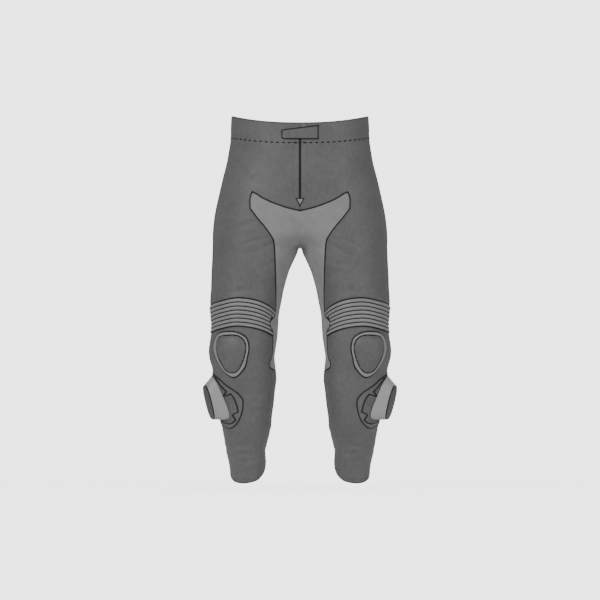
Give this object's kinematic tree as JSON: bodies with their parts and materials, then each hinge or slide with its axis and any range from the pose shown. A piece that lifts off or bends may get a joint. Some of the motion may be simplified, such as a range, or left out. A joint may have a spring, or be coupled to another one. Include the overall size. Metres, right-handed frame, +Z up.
{
  "type": "motorcycle trousers",
  "caption": "leather motorcycle trousers, filled out and hollow, with ribbed stretch panels over the knees, ringed knee cups and pull-off knee sliders",
  "frame": {"origin": "the middle of the waist, 18 mm below the front's top edge, where the wearer's waist holds the trousers up", "axes": "+Z up to the waist opening, -Y out of the front, +X to the wearer's left"},
  "size_m": [0.5168, 0.2772, 0.9687],
  "materials": {
    "leather": "mid grey cowhide, lightly grained",
    "stretch": "woven stretch cloth, matt, lighter grey",
    "rib_leather": "light grey leather ribs",
    "piping": "light grey leather piping",
    "hook_tape": "hook-and-loop tape, matt",
    "slider_plastic": "light grey moulded plastic",
    "slider_face": "mid grey moulded plastic",
    "zip": "near-black moulded zip on dark tape"
  },
  "bodies": {
    "root": {"waistband_left": "leather", "waistband_right": "leather", "front_left": "leather", "front_right": "leather", "back_left": "leather", "back_right": "leather", "shin_left": "leather", "shin_right": "leather", "calf_left": "leather", "calf_right": "leather", "knee_cup_left": "leather", "knee_cup_right": "leather", "slider_base_left": "leather", "slider_base_right": "leather", "waist_tab": "leather", "crotch_panel": "stretch", "inner_strip_left": "stretch", "inner_strip_right": "stretch", "knee_stretch_left": "rib_leather", "knee_stretch_right": "rib_leather", "fly_tack": "rib_leather", "knee_ring_left": "piping", "knee_ring_right": "piping", "slider_hook_left": "hook_tape", "slider_hook_right": "hook_tape", "slider_left": "slider_plastic", "slider_right": "slider_plastic", "slider_face_left": "slider_face", "slider_face_right": "slider_face", "fly_zip": "zip", "calf_zip_left": "zip", "calf_zip_right": "zip"}
  },
  "joints": []
}
